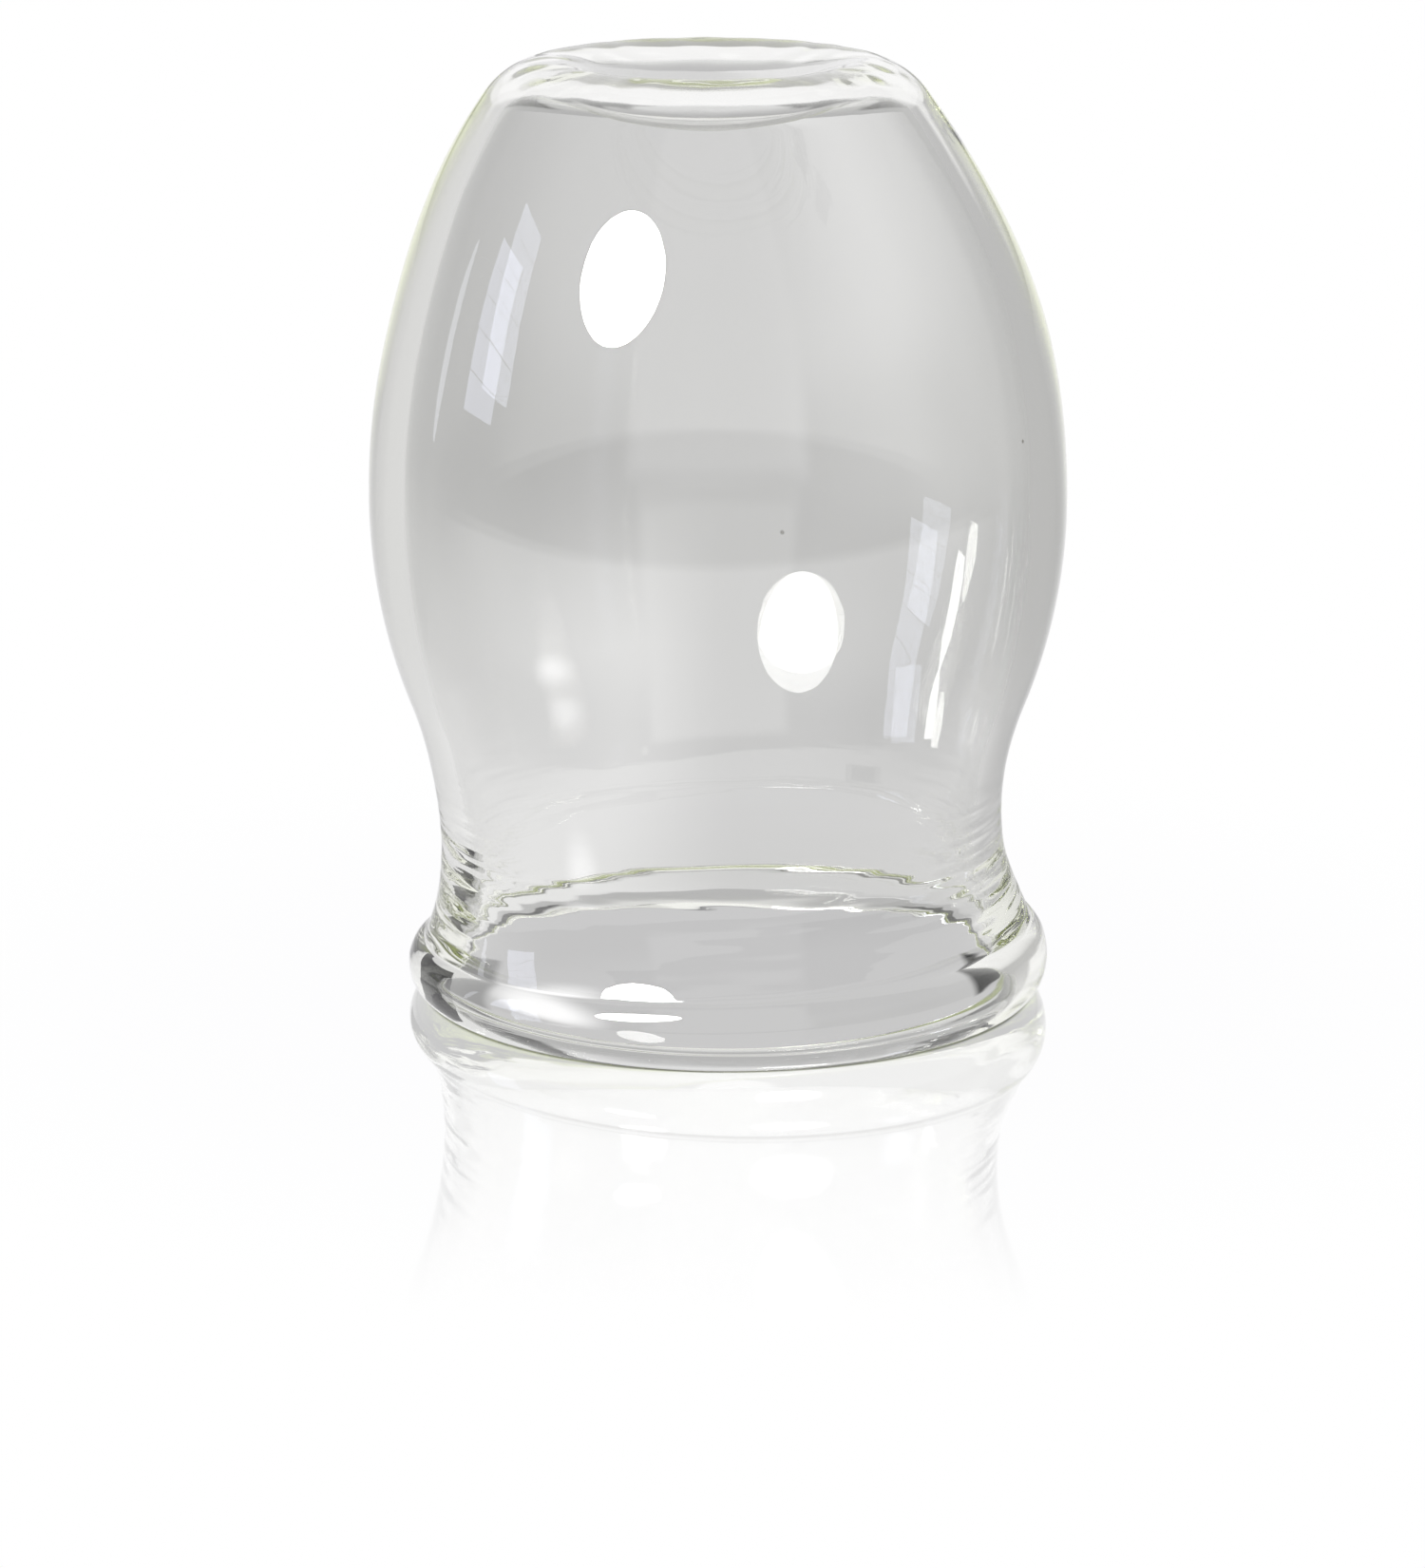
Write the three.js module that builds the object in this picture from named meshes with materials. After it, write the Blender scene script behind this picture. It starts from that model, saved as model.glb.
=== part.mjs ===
import * as THREE from 'three';

// Cupping glass: one hollow blown-glass cup, standing on its mouth, closed and dished at the top.
// Millimetres, +Z up. The origin is the middle of the mouth, on the surface that the cup stands on.

const height = 75;            // from the mouth to the base ring
const lipFlare = 3.2;         // how far the rolled lip stands out past the waist
const lipBead = 3.9;          // thickness of the bead along the lip
const lipHeight = 5.4;        // the bead is taller than it is thick
const lipFlat = 1.2;          // width of the flat under the bead
const lipWall = 2.65;         // from the outside of the lip to the mouth
const mouthRounding = 0.6;    // radius between the mouth and the flat
const creaseAngle = 70;       // degrees up round the bead, to where the neck leaves it
const waistDiameter = 45.1;   // outside, at the narrowest place
const waistHeight = 13.2;
const waistWall = 2.1;
const turnHeight = 24;        // where the hollow of the neck turns into the round of the belly
const bellyDiameter = 55.4;   // outside, at the widest place
const bellyHeight = 40.4;
const bellyWall = 2.8;
const shoulderRadius = 6.2;   // outside rounding from the belly up to the base ring
const shoulderWall = 2;
const ringDiameter = 24.2;    // middle of the ring round the dish
const ringFlat = 0.8;         // width of the flat on top of the ring
const dishDepth = 4;
const dishWall = 1.85;        // glass left at the middle of the dish
const roundSteps = 48;        // sides of the turned body

// Points along an arc, with angles in radians from the outward direction. A tall arc is drawn out upwards.
function arc(centreR, centreZ, radius, fromAngle, toAngle, steps, tall = 1) {
  return Array.from({ length: steps + 1 }, (_, step) => {
    const angle = fromAngle + (toAngle - fromAngle) * step / steps;
    return new THREE.Vector2(centreR + radius * Math.cos(angle), centreZ + radius * tall * Math.sin(angle));
  });
}

// Neck, from the lip in to the waist: one hollow arc, upright at the waist.
function neckCurve(startR, startZ, waistR) {
  const flare = startR - waistR;
  const rise = waistHeight - startZ;
  const radius = (flare ** 2 + rise ** 2) / (2 * flare);
  return arc(waistR + radius, waistHeight, radius, Math.PI + Math.asin(rise / radius), Math.PI, 5);
}

// Waist to belly: a hollow arc and a round one, both upright at their outer ends, that meet at turnHeight.
function bodyCurve(waistR, bellyR) {
  const bulge = bellyR - waistR;
  const rise = bellyHeight - waistHeight;
  const bothRadii = (bulge ** 2 + rise ** 2) / (2 * bulge);
  const hollowRadius = bothRadii * (turnHeight - waistHeight) / rise;
  const roundRadius = bothRadii - hollowRadius;
  const turnAngle = Math.asin(rise / bothRadii);
  return [
    ...arc(waistR + hollowRadius, waistHeight, hollowRadius, Math.PI, Math.PI - turnAngle, 4),
    ...arc(bellyR - roundRadius, bellyHeight, roundRadius, -turnAngle, 0, 5),
  ];
}

// Belly to base ring: one long round arc that runs into the tighter rounding of the shoulder.
function shoulderCurve(bellyR, cornerRadius) {
  const cornerR = ringDiameter / 2 + ringFlat / 2;
  const cornerZ = height - shoulderRadius;
  const inward = bellyR - cornerR;
  const rise = cornerZ - bellyHeight;
  const radius = (inward ** 2 + rise ** 2 - cornerRadius ** 2) / (2 * (inward - cornerRadius));
  const meetAngle = Math.atan2(rise, radius - inward);
  return [
    ...arc(bellyR - radius, bellyHeight, radius, 0, meetAngle, 6),
    ...arc(cornerR, cornerZ, cornerRadius, meetAngle, Math.PI / 2, 5),
  ];
}

// Dish: level at the ring and level again at the middle, listed from the middle outwards.
function dishCurve(edgeR, edgeZ, depth) {
  const steps = 7;
  return Array.from({ length: steps + 1 }, (_, step) => {
    const share = step / steps;
    return new THREE.Vector2(edgeR * share, edgeZ - depth * (1 - share ** 2) ** 2);
  });
}

// Lip section, from the mouth round under the flat and up the outside of the bead to the neck.
function lipCurve() {
  const lipR = waistDiameter / 2 + lipFlare;
  const mouthR = lipR - lipWall;
  const beadRadius = lipBead / 2;
  const beadR = lipR - beadRadius;
  const tall = lipHeight / lipBead;
  const beadZ = Math.sqrt(beadRadius ** 2 - (lipFlat / 2) ** 2) * tall;
  const flatAngle = -Math.acos(lipFlat / 2 / beadRadius);
  return [
    ...arc(mouthR + mouthRounding, mouthRounding, mouthRounding, Math.PI, Math.PI * 1.5, 3),
    ...arc(beadR, beadZ, beadRadius, flatAngle, THREE.MathUtils.degToRad(creaseAngle), 9, tall),
  ];
}

// Leaves out a point that repeats the one before it, where two curves meet.
function joinCurves(...curves) {
  return curves.flat().filter((point, place, all) => {
    return place === 0 || point.distanceTo(all[place - 1]) > 0.01;
  });
}

function glassCup() {
  const ringInnerR = ringDiameter / 2 - ringFlat / 2;
  const innerWaistR = waistDiameter / 2 - waistWall;
  const innerBellyR = bellyDiameter / 2 - bellyWall;
  const innerCorner = shoulderRadius - shoulderWall;
  const lip = lipCurve();
  const mouth = lip[0];
  const crease = lip[lip.length - 1];

  const inside = joinCurves(
    neckCurve(mouth.x, mouth.y, innerWaistR),
    bodyCurve(innerWaistR, innerBellyR),
    shoulderCurve(innerBellyR, innerCorner),
    dishCurve(ringInnerR, height - shoulderWall, dishDepth + dishWall - shoulderWall).reverse(),
  );
  const outside = joinCurves(
    neckCurve(crease.x, crease.y, waistDiameter / 2),
    bodyCurve(waistDiameter / 2, bellyDiameter / 2),
    shoulderCurve(bellyDiameter / 2, shoulderRadius),
    dishCurve(ringInnerR, height, dishDepth).reverse(),
  );
  const profile = joinCurves(inside.reverse(), lip, outside);

  const geometry = new THREE.LatheGeometry(profile, roundSteps);
  geometry.rotateX(Math.PI / 2);
  const material = new THREE.MeshStandardMaterial({ color: 0xd5dcd6, roughness: 0.05, metalness: 0 });
  const cup = new THREE.Mesh(geometry, material);
  cup.name = 'glass_cup';
  return cup;
}

const cuppingGlass = new THREE.Group();
cuppingGlass.add(glassCup());

export default cuppingGlass;
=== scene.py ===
from math import acos, asin, atan2, cos, pi, radians, sin, sqrt, tan, tau

import bmesh
import bpy
from mathutils import Matrix, Vector, noise


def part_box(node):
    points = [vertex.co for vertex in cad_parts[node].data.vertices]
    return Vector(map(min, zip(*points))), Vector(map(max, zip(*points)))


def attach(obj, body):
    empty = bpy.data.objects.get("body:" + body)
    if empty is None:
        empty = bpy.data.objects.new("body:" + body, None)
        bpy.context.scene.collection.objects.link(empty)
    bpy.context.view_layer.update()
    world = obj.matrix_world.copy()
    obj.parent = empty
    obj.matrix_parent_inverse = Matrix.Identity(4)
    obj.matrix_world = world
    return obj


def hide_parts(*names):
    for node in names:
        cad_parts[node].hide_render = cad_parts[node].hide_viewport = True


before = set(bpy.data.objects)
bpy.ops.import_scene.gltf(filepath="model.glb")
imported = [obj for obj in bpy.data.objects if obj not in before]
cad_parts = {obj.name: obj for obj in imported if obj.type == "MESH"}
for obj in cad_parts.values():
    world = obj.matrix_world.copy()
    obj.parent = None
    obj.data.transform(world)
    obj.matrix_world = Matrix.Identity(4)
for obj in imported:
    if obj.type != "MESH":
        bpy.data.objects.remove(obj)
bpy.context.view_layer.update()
cadLow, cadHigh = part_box("glass_cup")
cupHeight = cadHigh.z - cadLow.z
scene = bpy.context.scene
mm = 0.001
nodeGap = (220, -300)
nodesInRow = 8


def newNode(tree, kind, **settings):
    place = len(tree.nodes)
    node = tree.nodes.new(kind)
    node.location = (nodeGap[0] * (place % nodesInRow), nodeGap[1] * (place // nodesInRow))
    for name, value in settings.items():
        setattr(node, name, value)
    return node


def freshTree(owner):
    owner.use_nodes = True
    owner.node_tree.nodes.clear()
    return owner.node_tree


def feed(tree, socket, value):
    if isinstance(value, bpy.types.NodeSocket):
        tree.links.new(value, socket)
    else:
        socket.default_value = value


def rampNode(tree, value, low, high, fromTone=0, toTone=1):
    ramp = newNode(tree, "ShaderNodeMapRange", interpolation_type="SMOOTHSTEP")
    sockets = ("Value", "From Min", "From Max", "To Min", "To Max")
    for name, amount in zip(sockets, (value, low, high, fromTone, toTone)):
        feed(tree, ramp.inputs[name], amount)
    return ramp.outputs["Result"]


def mathNode(tree, operation, first, second=0):
    node = newNode(tree, "ShaderNodeMath", operation=operation)
    feed(tree, node.inputs[0], first)
    feed(tree, node.inputs[1], second)
    return node.outputs["Value"]


def multiplied(tree, first, *others):
    for other in others:
        first = mathNode(tree, "MULTIPLY", first, other)
    return first


def vectorNode(tree, operation, first, second=None, output="Vector"):
    node = newNode(tree, "ShaderNodeVectorMath", operation=operation)
    feed(tree, node.inputs[0], first)
    if second is not None:
        feed(tree, node.inputs[1], second)
    return node.outputs[output]


def splitAxes(tree, vector):
    split = newNode(tree, "ShaderNodeSeparateXYZ")
    tree.links.new(vector, split.inputs[0])
    return split.outputs


def mixTone(tree, share, first, second):
    mix = newNode(tree, "ShaderNodeMix")
    for socket, value in (("Factor", share), ("A", first), ("B", second)):
        feed(tree, mix.inputs[socket], value)
    return mix.outputs["Result"]


def mixShaders(tree, share, first, second):
    mix = newNode(tree, "ShaderNodeMixShader")
    for socket, value in zip(mix.inputs, (share, first, second)):
        tree.links.new(value, socket)
    return mix.outputs[0]


def glowing(tree, kind, strength, colour):
    glow = newNode(tree, kind)
    feed(tree, glow.inputs["Strength"], strength)
    glow.inputs["Color"].default_value = colour
    return glow.outputs[0]


def addObject(name, data):
    item = bpy.data.objects.new(name, data)
    scene.collection.objects.link(item)
    return item


def meshFrom(bm, name):
    mesh = bpy.data.meshes.new(name)
    bm.to_mesh(mesh)
    bm.free()
    return mesh


cameraSetup = {
    "targetHeight": 37.8 * mm,      # point of the cup that the lens is measured from
    "distance": 487 * mm,
    "elevation": radians(12),
    "aimBelow": radians(2.41),      # the cup stands high in the frame
    "aimLeft": radians(0.053),
    "lens": 140.7,
    "sensor": 36,
    "clip": (0.01, 20),
}


def addCamera():
    setup = cameraSetup
    data = bpy.data.cameras.new("viewCamera")
    data.lens = setup["lens"]
    data.sensor_width = setup["sensor"]
    data.clip_start, data.clip_end = setup["clip"]
    camera = addObject("viewCamera", data)
    back = Vector((0, -cos(setup["elevation"]), sin(setup["elevation"])))
    spot = Vector((0, 0, setup["targetHeight"])) + back * setup["distance"]
    pitch = pi / 2 - setup["elevation"] - setup["aimBelow"]
    turn = Matrix.Rotation(setup["aimLeft"], 4, "Z") @ Matrix.Rotation(pitch, 4, "X")
    camera.matrix_world = Matrix.Translation(spot) @ turn
    scene.camera = camera


addCamera()
print("camera placed")


cup = {
    "lipRadius": 25.75 * mm,
    "beadRadius": 1.95 * mm,
    "beadTall": 1.38,               # height of the bead as a share of its thickness
    "lipFlat": 0.9 * mm,
    "lipWall": 2.65 * mm,
    "mouthRounding": 0.8 * mm,
    "creaseAngle": radians(70),     # up round the bead, to where the neck leaves it
    "waistRadius": 22.55 * mm,
    "waistHeight": 13.2 * mm,
    "waistWall": 2.1 * mm,
    "turnHeight": 24 * mm,          # where the hollow of the neck turns into the round of the belly
    "bellyRadius": 27.7 * mm,
    "bellyHeight": 40.4 * mm,
    "bellyWall": 2.8 * mm,
    "shoulderRadius": 6.2 * mm,
    "shoulderWall": 2 * mm,
    "ringRadius": 12.3 * mm,
    "dishDepth": 4 * mm,
    "dishWall": 1.85 * mm,
    "leastGap": 0.02 * mm,          # between two points of the section
    "weldGap": 0.001 * mm,
}
cupSteps = {
    "mouth": 8,
    "bead": 34,
    "innerNeck": 56,
    "outerNeck": 48,
    "hollow": 30,
    "round": 16,
    "shoulder": 26,
    "corner": 14,
    "dish": 24,
    "turn": 256,
}
# what the blowing left, in millimetres: an amount, the size of its grain, and the stretch it sets in over
handMade = {
    "seed": Vector((3.1, 7.7, 1.3)),
    "onAxis": 0.01,                 # a point nearer the axis than this has no outward side
    "swelling": 0.05,
    "swellingSize": 14,
    "swellingOver": (0, 12),
    "marks": 0.035,                 # rings of the tool round the neck
    "marksSize": (5, 5, 0.8),
    "marksOver": (1.5, 4.5),
    "marksEnd": (12, 19),
    "gripped": (0.65, 0.92),        # the tool held the neck from both sides
    "ungripped": 0.2,
    "leanTop": -0.9,                # how far the body strays from its axis at the dish
    "leanTopOver": (52, 73),
    "leanNeck": 0.8,                # and at the lip
    "leanNeckEnd": (3, 20),
    "beadUneven": (0.15, -0.08),    # how much taller the bead is to the right and to the back
    "beadEnd": (5, 13),
    "wobble": 0.06,                 # of the base ring
    "wobbleSize": 2.5,
    "wobbleOver": (73.2, 74.6),
}


def arc(centreR, centreZ, radius, start, end, steps, tall=1):
    turn = [start + (end - start) * step / steps for step in range(steps + 1)]
    return [(centreR + radius * cos(a), centreZ + radius * tall * sin(a)) for a in turn]


def neckCurve(startR, startZ, waistR, steps):
    rise = cup["waistHeight"] - startZ
    flare = startR - waistR
    radius = (flare ** 2 + rise ** 2) / (2 * flare)
    return arc(waistR + radius, cup["waistHeight"], radius, pi + asin(rise / radius), pi, steps)


def bodyCurve(waistR, bellyR):
    bulge = bellyR - waistR
    rise = cup["bellyHeight"] - cup["waistHeight"]
    bothRadii = (bulge ** 2 + rise ** 2) / (2 * bulge)
    hollow = bothRadii * (cup["turnHeight"] - cup["waistHeight"]) / rise
    roundR = bothRadii - hollow
    turn = asin(rise / bothRadii)
    lower = arc(waistR + hollow, cup["waistHeight"], hollow, pi, pi - turn, cupSteps["hollow"])
    return lower + arc(bellyR - roundR, cup["bellyHeight"], roundR, -turn, 0, cupSteps["round"])


def shoulderCurve(bellyR, corner):
    cornerZ = cupHeight - cup["shoulderRadius"]
    inward = bellyR - cup["ringRadius"]
    rise = cornerZ - cup["bellyHeight"]
    radius = (inward ** 2 + rise ** 2 - corner ** 2) / (2 * (inward - corner))
    meet = atan2(rise, radius - inward)
    upper = arc(bellyR - radius, cup["bellyHeight"], radius, 0, meet, cupSteps["shoulder"])
    return upper + arc(cup["ringRadius"], cornerZ, corner, meet, pi / 2, cupSteps["corner"])


def dishCurve(edgeZ, depth):
    steps = cupSteps["dish"]
    shares = [1 - step / steps for step in range(steps + 1)]
    return [(cup["ringRadius"] * s, edgeZ - depth * (1 - s * s) ** 2) for s in shares]


def lipCurve():
    mouthR = cup["lipRadius"] - cup["lipWall"]
    beadR = cup["lipRadius"] - cup["beadRadius"]
    halfFlat = cup["lipFlat"] / 2
    tall = cup["beadTall"]
    beadZ = sqrt(cup["beadRadius"] ** 2 - halfFlat ** 2) * tall
    edge = cup["mouthRounding"]
    inner = arc(mouthR + edge, edge, edge, pi, 1.5 * pi, cupSteps["mouth"])
    low = -acos(halfFlat / cup["beadRadius"])
    outer = arc(beadR, beadZ, cup["beadRadius"], low, cup["creaseAngle"], cupSteps["bead"], tall)
    return inner + outer


def cupProfile():
    # From the inside of the dish down to the lip, round it, and up the outside to the dish again.
    lip = lipCurve()
    innerWaist = cup["waistRadius"] - cup["waistWall"]
    innerBelly = cup["bellyRadius"] - cup["bellyWall"]
    wall = cup["shoulderWall"]
    inside = neckCurve(*lip[0], innerWaist, cupSteps["innerNeck"])
    inside += bodyCurve(innerWaist, innerBelly)
    inside += shoulderCurve(innerBelly, cup["shoulderRadius"] - wall)
    inside += dishCurve(cupHeight - wall, cup["dishDepth"] + cup["dishWall"] - wall)
    outside = neckCurve(*lip[-1], cup["waistRadius"], cupSteps["outerNeck"])
    outside += bodyCurve(cup["waistRadius"], cup["bellyRadius"])
    outside += shoulderCurve(cup["bellyRadius"], cup["shoulderRadius"])
    outside += dishCurve(cupHeight, cup["dishDepth"])
    points = inside[::-1] + lip + outside
    kept = [points[0]]
    for point in points[1:]:
        if (Vector(point) - Vector(kept[-1])).length > cup["leastGap"]:
            kept.append(point)
    return kept


def smoothStep(low, high, value):
    share = min(max((value - low) / (high - low), 0), 1)
    return share * share * (3 - 2 * share)


def handBlown(bm):
    # The body strays from its axis, its wall swells and thins a little, and the neck keeps its tool marks.
    made = handMade
    seed = made["seed"]
    for vert in bm.verts:
        x, y, z = vert.co / mm
        radius = sqrt(x * x + y * y)
        if radius < made["onAxis"]:
            out = Vector((0, 0, 0))
        else:
            out = Vector((x, y, 0)) / radius
        here = Vector((x, y, z))
        broad = noise.noise(here / made["swellingSize"] + seed) * made["swelling"]
        broad *= smoothStep(*made["swellingOver"], radius)
        marks = smoothStep(*made["marksOver"], z) * (1 - smoothStep(*made["marksEnd"], z))
        marks *= made["ungripped"] + (1 - made["ungripped"]) * smoothStep(*made["gripped"], abs(out.x))
        grain = Vector([place / size for place, size in zip(here, made["marksSize"])])
        streak = noise.noise(grain + seed * 2) * made["marks"] * marks
        vert.co += out * (broad + streak) * mm
        lean = made["leanTop"] * smoothStep(*made["leanTopOver"], z)
        lean += made["leanNeck"] * (1 - smoothStep(*made["leanNeckEnd"], z))
        vert.co.x += lean * mm
        uneven = out.x * made["beadUneven"][0] + out.y * made["beadUneven"][1]
        lift = uneven * z * (1 - smoothStep(*made["beadEnd"], z))
        wobble = noise.noise(here / made["wobbleSize"] + seed * 3) * made["wobble"]
        lift += wobble * smoothStep(*made["wobbleOver"], z)
        vert.co.z += lift * mm


def makeCup():
    bm = bmesh.new()
    verts = [bm.verts.new((r, 0, z)) for r, z in cupProfile()]
    edges = [bm.edges.new(pair) for pair in zip(verts, verts[1:])]
    bmesh.ops.spin(
        bm, geom=verts + edges, cent=(0, 0, 0), axis=(0, 0, 1), angle=tau,
        steps=cupSteps["turn"], use_merge=True,
    )
    bmesh.ops.remove_doubles(bm, verts=bm.verts, dist=cup["weldGap"])
    bmesh.ops.recalc_face_normals(bm, faces=bm.faces)
    handBlown(bm)
    mesh = meshFrom(bm, "blownGlassCup")
    for polygon in mesh.polygons:
        polygon.use_smooth = True
    print("cup:", len(mesh.vertices), "points,", len(mesh.polygons), "faces")
    return addObject("blownGlassCup", mesh)


glassFinish = {
    "ior": 1.5,
    "tint": (0.74, 0.79, 0.40, 1),      # colour that deep glass turns to
    "tintDensity": 13,
    "bumpDistance": 0.1 * mm,
}
waves = {
    "Swell Scale": 70,
    "Swell": 0.10,
    "Cord Scale": 420,
    "Cords": 0.035,
    "Ring Scale": 700,
    "Rings": 2.0,
}
waveShape = {
    "swellDetail": 2,
    "cordDetail": 3,
    "cordStretch": (1, 1, 0.06),
    "ringDetail": 1.5,
    "ringStretch": (0.07, 0.07, 1),
    "neckFrom": (3 * mm, 6 * mm),
    "neckTo": (12 * mm, 21 * mm),
    "gripped": (0.7, 0.95),
    "ungripped": 0.06,
}
wear = {
    "Smear": 0.02,
    "Dust": 0.05,
    "Grain Colour": (0.2, 0.19, 0.16, 1),
}
wearShape = {
    # scale and detail of a noise, and the values of it that the mark fades in between
    "patches": (45, 4, 0.52, 0.72),
    "strokes": (600, 2, 0.45, 0.7),
    "strokeLeast": 0.3,
    "specks": (2600, 0, 0.74, 0.80),
    "grainScale": 170,
    "grainRare": 0.965,
    "grainEdge": (0.02, 0.045),
}


def newGroup(name, inputs, outputs):
    group = bpy.data.node_groups.new(name, "ShaderNodeTree")
    for direction, sockets in (("INPUT", inputs), ("OUTPUT", outputs)):
        for label, kind in sockets.items():
            group.interface.new_socket(name=label, in_out=direction, socket_type="NodeSocket" + kind)
    return group, newNode(group, "NodeGroupInput").outputs, newNode(group, "NodeGroupOutput").inputs


def placeGroup(tree, group, values):
    node = newNode(tree, "ShaderNodeGroup", node_tree=group)
    for name, value in values.items():
        node.inputs[name].default_value = value
    return node.outputs


def noiseNode(tree, vector, scale, detail):
    node = newNode(tree, "ShaderNodeTexNoise")
    for name, value in (("Vector", vector), ("Scale", scale), ("Detail", detail)):
        feed(tree, node.inputs[name], value)
    return node.outputs["Fac"]


def stretched(tree, vector, scale):
    node = newNode(tree, "ShaderNodeMapping")
    node.inputs["Scale"].default_value = scale
    tree.links.new(vector, node.inputs["Vector"])
    return node.outputs["Vector"]


def blowingWaves():
    # The soft swells of blown glass, the long faint cords drawn out in it, and rings round the neck.
    group, given, result = newGroup("blowingWaves", {name: "Float" for name in waves}, {"Height": "Float"})
    shape = waveShape
    spot = newNode(group, "ShaderNodeTexCoord").outputs["Object"]
    swell = noiseNode(group, spot, given["Swell Scale"], shape["swellDetail"])
    drawnOut = stretched(group, spot, shape["cordStretch"])
    cords = noiseNode(group, drawnOut, given["Cord Scale"], shape["cordDetail"])
    wrapped = stretched(group, spot, shape["ringStretch"])
    rings = noiseNode(group, wrapped, given["Ring Scale"], shape["ringDetail"])

    height = splitAxes(group, spot)["Z"]
    outward = vectorNode(group, "NORMALIZE", stretched(group, spot, (1, 1, 0)))
    aside = mathNode(group, "ABSOLUTE", splitAxes(group, outward)["X"])
    where = multiplied(
        group, rampNode(group, height, *shape["neckFrom"]), rampNode(group, height, *shape["neckTo"], 1, 0),
        rampNode(group, aside, *shape["gripped"], shape["ungripped"], 1),
    )
    total = mathNode(
        group, "ADD", multiplied(group, swell, given["Swell"]), multiplied(group, cords, given["Cords"]),
    )
    total = mathNode(group, "ADD", total, multiplied(group, rings, where, given["Rings"]))
    group.links.new(total, result["Height"])
    return group


def handling():
    # Smears from fingers, fine dust, and a few dark grains of sand that are melted into the glass.
    inputs = {"Smear": "Float", "Dust": "Float", "Grain Colour": "Color"}
    group, given, result = newGroup("handling", inputs, {"Roughness": "Float", "Colour": "Color"})
    shape = wearShape
    spot = newNode(group, "ShaderNodeTexCoord").outputs["Object"]
    fields = {}
    for name, least in (("patches", 0), ("strokes", shape["strokeLeast"]), ("specks", 0)):
        scale, detail, low, high = shape[name]
        fields[name] = rampNode(group, noiseNode(group, spot, scale, detail), low, high, least, 1)
    smears = multiplied(group, fields["patches"], fields["strokes"], given["Smear"])
    dust = multiplied(group, fields["specks"], given["Dust"])
    group.links.new(mathNode(group, "ADD", smears, dust), result["Roughness"])

    cells = newNode(group, "ShaderNodeTexVoronoi")
    cells.inputs["Scale"].default_value = shape["grainScale"]
    group.links.new(spot, cells.inputs["Vector"])
    chosen = newNode(group, "ShaderNodeSeparateColor")
    group.links.new(cells.outputs["Color"], chosen.inputs["Color"])
    rare = mathNode(group, "GREATER_THAN", chosen.outputs["Red"], shape["grainRare"])
    small = rampNode(group, cells.outputs["Distance"], *shape["grainEdge"], 1, 0)
    mix = newNode(group, "ShaderNodeMix", data_type="RGBA")
    group.links.new(multiplied(group, rare, small), mix.inputs["Factor"])
    mix.inputs["A"].default_value = (1, 1, 1, 1)
    group.links.new(given["Grain Colour"], mix.inputs["B"])
    group.links.new(mix.outputs["Result"], result["Colour"])
    return group


def glassMaterial():
    finish = glassFinish
    material = bpy.data.materials.new("clearBlownGlass")
    tree = freshTree(material)
    output = newNode(tree, "ShaderNodeOutputMaterial")
    shader = newNode(tree, "ShaderNodeBsdfPrincipled")
    shader.inputs["Transmission Weight"].default_value = 1
    shader.inputs["IOR"].default_value = finish["ior"]
    bump = newNode(tree, "ShaderNodeBump")
    bump.inputs["Distance"].default_value = finish["bumpDistance"]
    tree.links.new(placeGroup(tree, blowingWaves(), waves)["Height"], bump.inputs["Height"])
    tree.links.new(bump.outputs["Normal"], shader.inputs["Normal"])
    marks = placeGroup(tree, handling(), wear)
    tree.links.new(marks["Roughness"], shader.inputs["Roughness"])
    tree.links.new(marks["Colour"], shader.inputs["Base Color"])
    tint = newNode(tree, "ShaderNodeVolumeAbsorption")
    tint.inputs["Color"].default_value = finish["tint"]
    tint.inputs["Density"].default_value = finish["tintDensity"]
    tree.links.new(shader.outputs["BSDF"], output.inputs["Surface"])
    tree.links.new(tint.outputs["Volume"], output.inputs["Volume"])
    return material


glassCup = makeCup()
glassCup.data.materials.append(glassMaterial())
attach(glassCup, "root")
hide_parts("glass_cup")
print("cup made")


# The camera sees a white floor and backdrop. The glass sees a table top and a soft grey room instead, and
# the table top's tones have light and shade painted into them.
table = {
    "floorSize": 6.0,
    "sunk": 0.02 * mm,              # a hair below the lip
    "radius": 0.295,                # of the round table top that the glass mirrors
    "centreY": 0.09,
    "edgeBlur": 0.012,
    "paper": 1.0,                   # the floor as the camera sees it
    "shine": 0.45,                  # of the floor round the foot of the cup, and where it fades
    "shineOver": (26 * mm, 85 * mm),
    "shineRoughness": 0.03,
    "mirroredTone": 1.05,           # the near side of the table top, mirrored in the glass
    "mirroredOver": (-20 * mm, 60 * mm),
    "nearLeftTone": 0.79,           # and the table top behind the cup, as it is seen through the glass, with painted light: lighter to the left near the cup and to the right further back
    "nearRightTone": 0.62,
    "nearOver": (-14 * mm, 2 * mm),
    "farTone": 0.62,
    "farRightTone": 0.78,
    "farOver": (2 * mm, 44 * mm),
    "farFrom": (130 * mm, 220 * mm),
    # painted shade on the table inside the mouth
    "mouthTone": 0.58,
    "mouthEdge": (24 * mm, 32 * mm),
    # painted shade on the table towards the sides, further back
    "sideShade": 0.78,
    "sideShadeOver": (0.06, 0.34),
    "sideShadeFrom": (50 * mm, 120 * mm),
    "contactShadowTone": 0.2,                # painted contact shadow where the lip touches the table
    "contactShadowInner": (23.6 * mm, 23.9 * mm),
    "contactShadowOuter": (24.3 * mm, 24.8 * mm),
}
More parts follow.
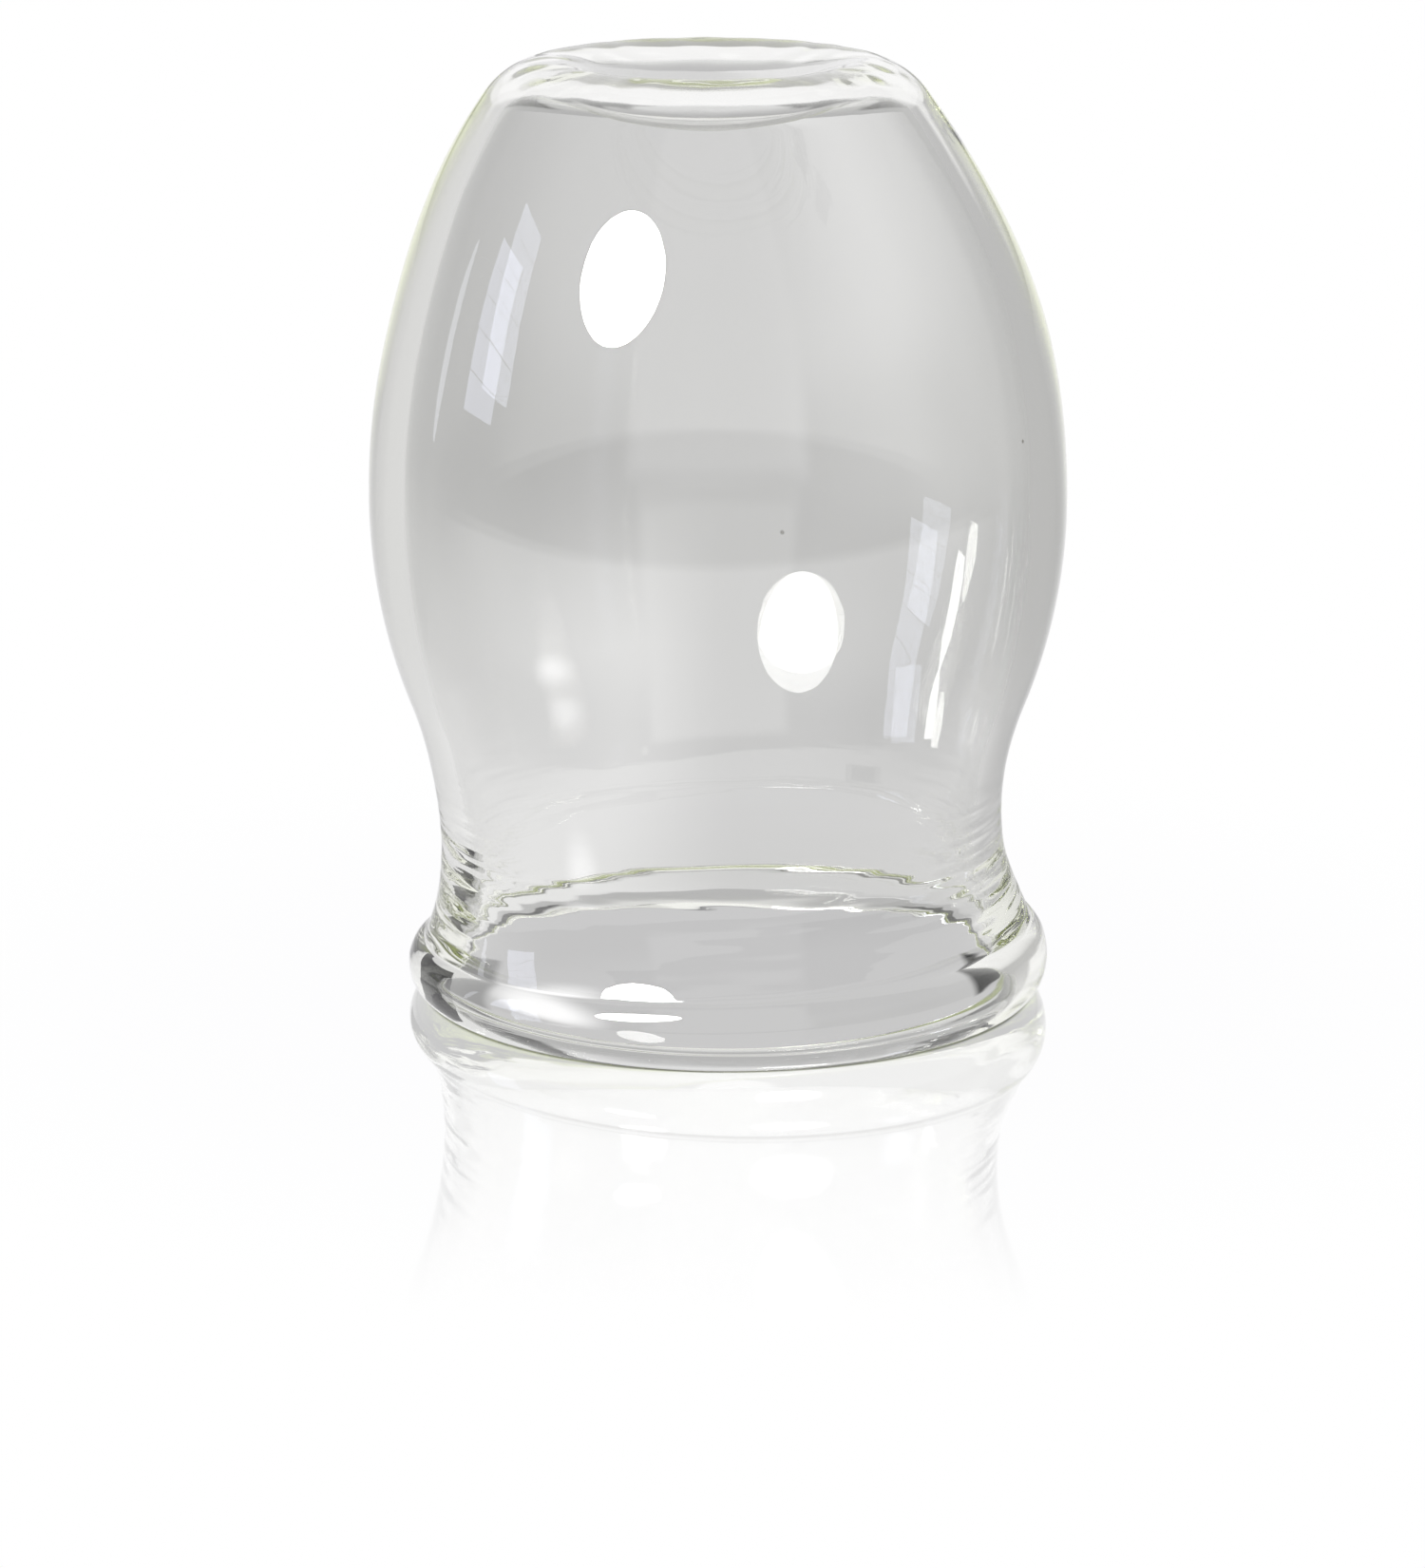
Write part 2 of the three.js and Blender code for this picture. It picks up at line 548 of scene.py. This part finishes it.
paintedDarkPatches = {
    # painted shade: dark patches on the table at the sides of the lip, seen only through the glass
    "tone": 0.02,
    "leftShare": 0.5,
    "left": (-19.6 * mm, -18.4 * mm),
    "right": (19.6 * mm, 20.6 * mm),
    "front": (-20 * mm, -18 * mm),
    "back": (2 * mm, 4 * mm),
    "edge": (24.5 * mm, 25 * mm),
}
# painted light, in place of the light that the cup would gather on the table: place, the radii that it fades
# between, strength
paintedGatheredLight = {
    "farSpot": ((-57 * mm, -47 * mm, 0), (1 * mm, 12 * mm), 4),
    "nearSpot": ((-41 * mm, -38 * mm, 0), (1 * mm, 8 * mm), 3.5),
}
# a painted glare on the table inside the mouth, seen through the glass: place, the radii that it fades
# between, tone
paintedMouthGlare = ((-13.5 * mm, -9.5 * mm, 0), (1.5 * mm, 6 * mm), 1.1)
# The room's zones go by the direction from the cup: sideways, behind and up, each from -1 to 1.
room = {
    "colour": (0.965, 0.96, 0.975, 1),
    "leftTone": 0.74,               # behind the cup, to the left and right
    "rightTone": 0.53,
    "sideOver": (-0.6, 0.6),
    "darkTone": 0.06,               # in front
    "frontOver": (-0.35, 0.25),
    "overheadTone": 0.74,
    "overheadOver": (0.1, 0.4),
    "horizonTone": 0.42,            # low down straight behind
    "horizonOver": (0.9, 0.98),
    "skimTone": 1.0,                # and behind, where light skims the glass or the floor
    "skimOver": (0.78, 0.97),
    "ringTone": 1.0,                # higher up behind, mirrored inside the wall
    "ringOver": (0, 0.06),
    "ringSide": (0.54, 0.46),
    "lipTone": 0.04,                # and bent upwards through the lip: a painted dark zone that shades the lip
    "lipOver": (0.13, 0.18),
    "lipSide": (0.09, 0.13),
}
# azimuth and elevation from the cup, the angles out from there that it fades between, strength
softGlows = {
    "paleCorner": (-152, 17, 10, 26, 2.2),
    "paleWall": (150, 14, 4, 22, 0.3),
}


def lightPath(tree):
    # Light that the camera sees directly, light that was mirrored, and light mirrored once on the outside.
    path = newNode(tree, "ShaderNodeLightPath").outputs
    mirrored = mathNode(tree, "GREATER_THAN", path["Glossy Depth"], 0.5)
    fresh = mathNode(tree, "LESS_THAN", path["Ray Depth"], 1.5)
    return path["Is Camera Ray"], mirrored, multiplied(tree, mirrored, fresh)


def surroundings(tree, vector, firstMirror):
    # How far to the side a spot lies, seen from the cup, the room's tone there, and the light that skims.
    level = vectorNode(tree, "MULTIPLY", vector, (1, 1, 0))
    direction = splitAxes(tree, vectorNode(tree, "NORMALIZE", level))
    side, behind = direction["X"], direction["Y"]
    pale = rampNode(tree, side, *room["sideOver"], room["leftTone"], room["rightTone"])
    tone = mixTone(tree, rampNode(tree, behind, *room["frontOver"]), room["darkTone"], pale)
    tone = mixTone(tree, rampNode(tree, behind, *room["horizonOver"]), tone, room["horizonTone"])
    skimming = multiplied(tree, rampNode(tree, behind, *room["skimOver"]), firstMirror)
    return side, tone, skimming


def fadingSpot(tree, spot, place, radii, strength):
    away = vectorNode(tree, "DISTANCE", spot, place, "Value")
    return rampNode(tree, away, *radii, strength, 0)


def mirroredTable(tree, spot, along, roomTone, skimming, firstMirror):
    fromMiddle = vectorNode(tree, "DISTANCE", spot, (0, table["centreY"], 0), "Value")
    edge = (table["radius"] - table["edgeBlur"], table["radius"] + table["edgeBlur"])
    nearSide = rampNode(tree, along, *table["mirroredOver"], table["mirroredTone"], roomTone)
    tone = mixTone(tree, rampNode(tree, fromMiddle, *edge), nearSide, roomTone)
    tone = mixTone(tree, skimming, tone, room["skimTone"])
    # painted spots of light on the mirrored table
    for place, radii, strength in paintedGatheredLight.values():
        bright = multiplied(tree, fadingSpot(tree, spot, place, radii, strength), firstMirror)
        tone = mathNode(tree, "ADD", tone, bright)
    return tone


# Painted shade: the dark patches at the sides of the lip.
def paintedShadePatches(tree, across, along, reach):
    patch = paintedDarkPatches
    sides = mathNode(
        tree, "MAXIMUM", rampNode(tree, across, *patch["left"], patch["leftShare"], 0),
        rampNode(tree, across, *patch["right"]),
    )
    return multiplied(
        tree, sides, rampNode(tree, along, *patch["front"]), rampNode(tree, along, *patch["back"], 1, 0),
        rampNode(tree, reach, *patch["edge"], 1, 0),
    )


# Painted light and shade on the table seen through the glass: lighter to one side, darker in the mouth and
# at the sides, with a painted glare and painted dark patches.
def tableThroughGlass(tree, spot, across, along, side, reach):
    near = rampNode(tree, across, *table["nearOver"], table["nearLeftTone"], table["nearRightTone"])
    far = rampNode(tree, across, *table["farOver"], table["farTone"], table["farRightTone"])
    tone = mixTone(tree, rampNode(tree, along, *table["farFrom"]), near, far)
    tone = mixTone(tree, rampNode(tree, reach, *table["mouthEdge"], 1, 0), tone, table["mouthTone"])
    offSide = mathNode(tree, "ABSOLUTE", side)
    shade = multiplied(
        tree, rampNode(tree, offSide, *table["sideShadeOver"]),
        rampNode(tree, along, *table["sideShadeFrom"]),
    )
    tone = multiplied(tree, tone, mixTone(tree, shade, 1, table["sideShade"]))
    # painted glare
    glarePlace, glareRadii, glareTone = paintedMouthGlare
    tone = mixTone(tree, fadingSpot(tree, spot, glarePlace, glareRadii, 1), tone, glareTone)
    return mixTone(tree, paintedShadePatches(tree, across, along, reach), tone, paintedDarkPatches["tone"])


def floorMaterial():
    material = bpy.data.materials.new("paleFloor")
    tree = freshTree(material)
    output = newNode(tree, "ShaderNodeOutputMaterial")
    camera, mirrored, firstMirror = lightPath(tree)
    spot = newNode(tree, "ShaderNodeTexCoord").outputs["Object"]
    fromFoot = vectorNode(tree, "SUBTRACT", spot, (handMade["leanNeck"] * mm, 0, 0))
    place = splitAxes(tree, fromFoot)
    across, along = place["X"], place["Y"]
    reach = vectorNode(tree, "LENGTH", fromFoot, output="Value")
    side, roomTone, skimming = surroundings(tree, fromFoot, firstMirror)
    inMirror = mirroredTable(tree, spot, along, roomTone, skimming, firstMirror)
    through = tableThroughGlass(tree, spot, across, along, side, reach)
    # a painted contact shadow round the lip, seen by the camera and in the glass
    contactShadow = multiplied(
        tree, rampNode(tree, reach, *table["contactShadowInner"]), rampNode(tree, reach, *table["contactShadowOuter"], 1, 0),
    )

    inGlass = mixTone(tree, contactShadow, mixTone(tree, mirrored, through, inMirror), table["contactShadowTone"])
    hidden = glowing(tree, "ShaderNodeEmission", inGlass, room["colour"])
    onPaper = mixTone(tree, contactShadow, table["paper"], table["contactShadowTone"])
    paper = glowing(tree, "ShaderNodeEmission", onPaper, (1, 1, 1, 1))
    polish = newNode(tree, "ShaderNodeBsdfGlossy")
    polish.inputs["Color"].default_value = (1, 1, 1, 1)
    polish.inputs["Roughness"].default_value = table["shineRoughness"]
    shine = rampNode(tree, reach, *table["shineOver"], table["shine"], 0)
    seen = mixShaders(tree, shine, paper, polish.outputs[0])
    tree.links.new(mixShaders(tree, camera, hidden, seen), output.inputs["Surface"])
    return material


def addTable():
    bm = bmesh.new()
    bmesh.ops.create_grid(bm, x_segments=1, y_segments=1, size=table["floorSize"] / 2)
    bmesh.ops.translate(bm, verts=bm.verts, vec=(0, 0, -table["sunk"]))
    floor = addObject("paleFloor", meshFrom(bm, "paleFloor"))
    floor.data.materials.append(floorMaterial())


def towards(azimuth, elevation):
    sideways, upward = radians(azimuth), radians(elevation)
    return Vector((sin(sideways) * cos(upward), -cos(sideways) * cos(upward), sin(upward)))


def addRoom():
    world = bpy.data.worlds.new("softRoom")
    scene.world = world
    world.cycles.sampling_method = "NONE"   # the tones go by the path, which direct sampling doesn't have
    tree = freshTree(world)
    output = newNode(tree, "ShaderNodeOutputWorld")
    camera, mirrored, firstMirror = lightPath(tree)
    away = newNode(tree, "ShaderNodeTexCoord").outputs["Generated"]
    up = splitAxes(tree, away)["Z"]
    side, allRound, skimming = surroundings(tree, away, firstMirror)
    offSide = mathNode(tree, "ABSOLUTE", side)
    tone = mixTone(tree, rampNode(tree, up, *room["overheadOver"]), allRound, room["overheadTone"])
    unmirrored = mathNode(tree, "SUBTRACT", 1, mirrored)
    # painted shade in the lip, from a dark zone that mirrored light doesn't see
    lipZone = multiplied(
        tree, rampNode(tree, up, *room["lipOver"]), rampNode(tree, offSide, *room["lipSide"]), unmirrored,
    )
    tone = mixTone(tree, lipZone, tone, room["lipTone"])
    ringZone = multiplied(
        tree, rampNode(tree, offSide, *room["ringSide"]), rampNode(tree, up, *room["ringOver"]), mirrored,
    )
    tone = mixTone(tree, ringZone, tone, room["ringTone"])
    for azimuth, elevation, inner, outer, strength in softGlows.values():
        facing = vectorNode(tree, "DOT_PRODUCT", away, towards(azimuth, elevation), "Value")
        near = rampNode(tree, facing, cos(radians(outer)), cos(radians(inner)), 0, strength)
        tone = mathNode(tree, "ADD", tone, multiplied(tree, near, firstMirror))
    inGlass = mixTone(tree, skimming, tone, room["skimTone"])
    hidden = glowing(tree, "ShaderNodeBackground", inGlass, room["colour"])
    seen = glowing(tree, "ShaderNodeBackground", table["paper"], (1, 1, 1, 1))
    tree.links.new(mixShaders(tree, camera, hidden, seen), output.inputs["Surface"])


mostBounces = 40
paneBar = 0.004         # between the panes of a window that is 1 wide and 1 high
barShare = 0.6          # of a pane: a face that is smaller is a bar
roundSegments = 96
panelDistance = 1.2
panelHeight = cupHeight * 0.6
white = (1, 1, 1)
paleBlue = (0.80, 0.83, 1)
# Panels that are only seen mirrored in the glass. Sizes and slant are in degrees, seen from the cup, and
# met gives the fewest and most surfaces that the light has met.
lightPanels = {
    "ovalLamp": dict(toward=(-37, 32.5), size=(30, 21.5), slant=22, strength=60, met=(1, 1)),
    "ovalLampGlints": dict(toward=(-37, 30), size=(18, 11), slant=22, strength=60, met=(2, 4)),
    "ovalLampBack": dict(toward=(-37, 23), size=(34, 24), strength=60, met=(5, 5)),
    "ovalLampLast": dict(toward=(-37, 31), size=(34, 25), strength=60, met=(6, mostBounces)),
    "window": dict(toward=(-87, 13.5), size=(13, 19), panes=(3, 5), strength=4, colour=paleBlue, met=(1, 4)),
    "windowBack": dict(
        toward=(-90, 7), size=(15, 22), panes=(3, 5), strength=4, colour=paleBlue, met=(5, mostBounces),
    ),
    "windowEdge": dict(toward=(-106, 8), size=(3, 20), strength=3, colour=(0.9, 0.92, 1), met=(1, 1)),
    "paleDoor": dict(toward=(-113, 2), size=(6, 16), strength=12, met=(5, mostBounces)),
    # a black card close to the lip, seen only in the glass, which paints shade on the lip's left end
    "paintedShadeCard": dict(
        toward=(-92.4, 0), size=(22, 13), panes=(1, 1), strength=0, colour=(0, 0, 0), met=(2, mostBounces),
        distance=28 * mm, height=5.7 * mm,
    ),
}


def panelShape(panes):
    bm = bmesh.new()
    if panes:
        bmesh.ops.create_grid(bm, x_segments=panes[0], y_segments=panes[1], size=0.5)
        bmesh.ops.inset_individual(bm, faces=bm.faces, thickness=paneBar)
        least = barShare / (panes[0] * panes[1])
        bars = [face for face in bm.faces if face.calc_area() < least]
        bmesh.ops.delete(bm, geom=bars, context="FACES")
    else:
        bmesh.ops.create_circle(bm, cap_ends=True, segments=roundSegments, radius=0.5)
    return bm


def panelMaterial(name, strength, colour, met):
    material = bpy.data.materials.new(name)
    tree = freshTree(material)
    output = newNode(tree, "ShaderNodeOutputMaterial")
    path = newNode(tree, "ShaderNodeLightPath").outputs
    share = multiplied(
        tree, mathNode(tree, "GREATER_THAN", path["Ray Depth"], met[0] - 0.5),
        mathNode(tree, "LESS_THAN", path["Ray Depth"], met[1] + 0.5),
        mathNode(tree, "GREATER_THAN", path["Glossy Depth"], 0.5),
    )
    clear = newNode(tree, "ShaderNodeBsdfTransparent").outputs[0]
    glow = glowing(tree, "ShaderNodeEmission", strength, (*colour, 1))
    tree.links.new(mixShaders(tree, share, clear, glow), output.inputs["Surface"])
    return material


def addPanel(name, toward, size, strength, met, slant=0, panes=None, colour=white,
             distance=panelDistance, height=panelHeight):
    bm = panelShape(panes)
    across, along = (2 * distance * tan(radians(angle / 2)) for angle in size)
    bmesh.ops.scale(bm, verts=bm.verts, vec=(across, along, 1))
    away = towards(*toward)
    facing = away.to_track_quat("Z", "Y").to_matrix().to_4x4()
    place = Matrix.Translation(Vector((0, 0, height)) + away * distance)
    bmesh.ops.transform(bm, verts=bm.verts, matrix=place @ facing @ Matrix.Rotation(radians(slant), 4, "Z"))
    panel = addObject(name, meshFrom(bm, name))
    panel.visible_camera = False
    panel.data.materials.append(panelMaterial(name, strength, colour, met))


addTable()
addRoom()
for panelName, panelSetup in lightPanels.items():
    addPanel(panelName, **panelSetup)
scene.view_settings.view_transform = "Standard"
scene.cycles.max_bounces = mostBounces
scene.cycles.transmission_bounces = mostBounces
scene.cycles.glossy_bounces = mostBounces
print("stage made")
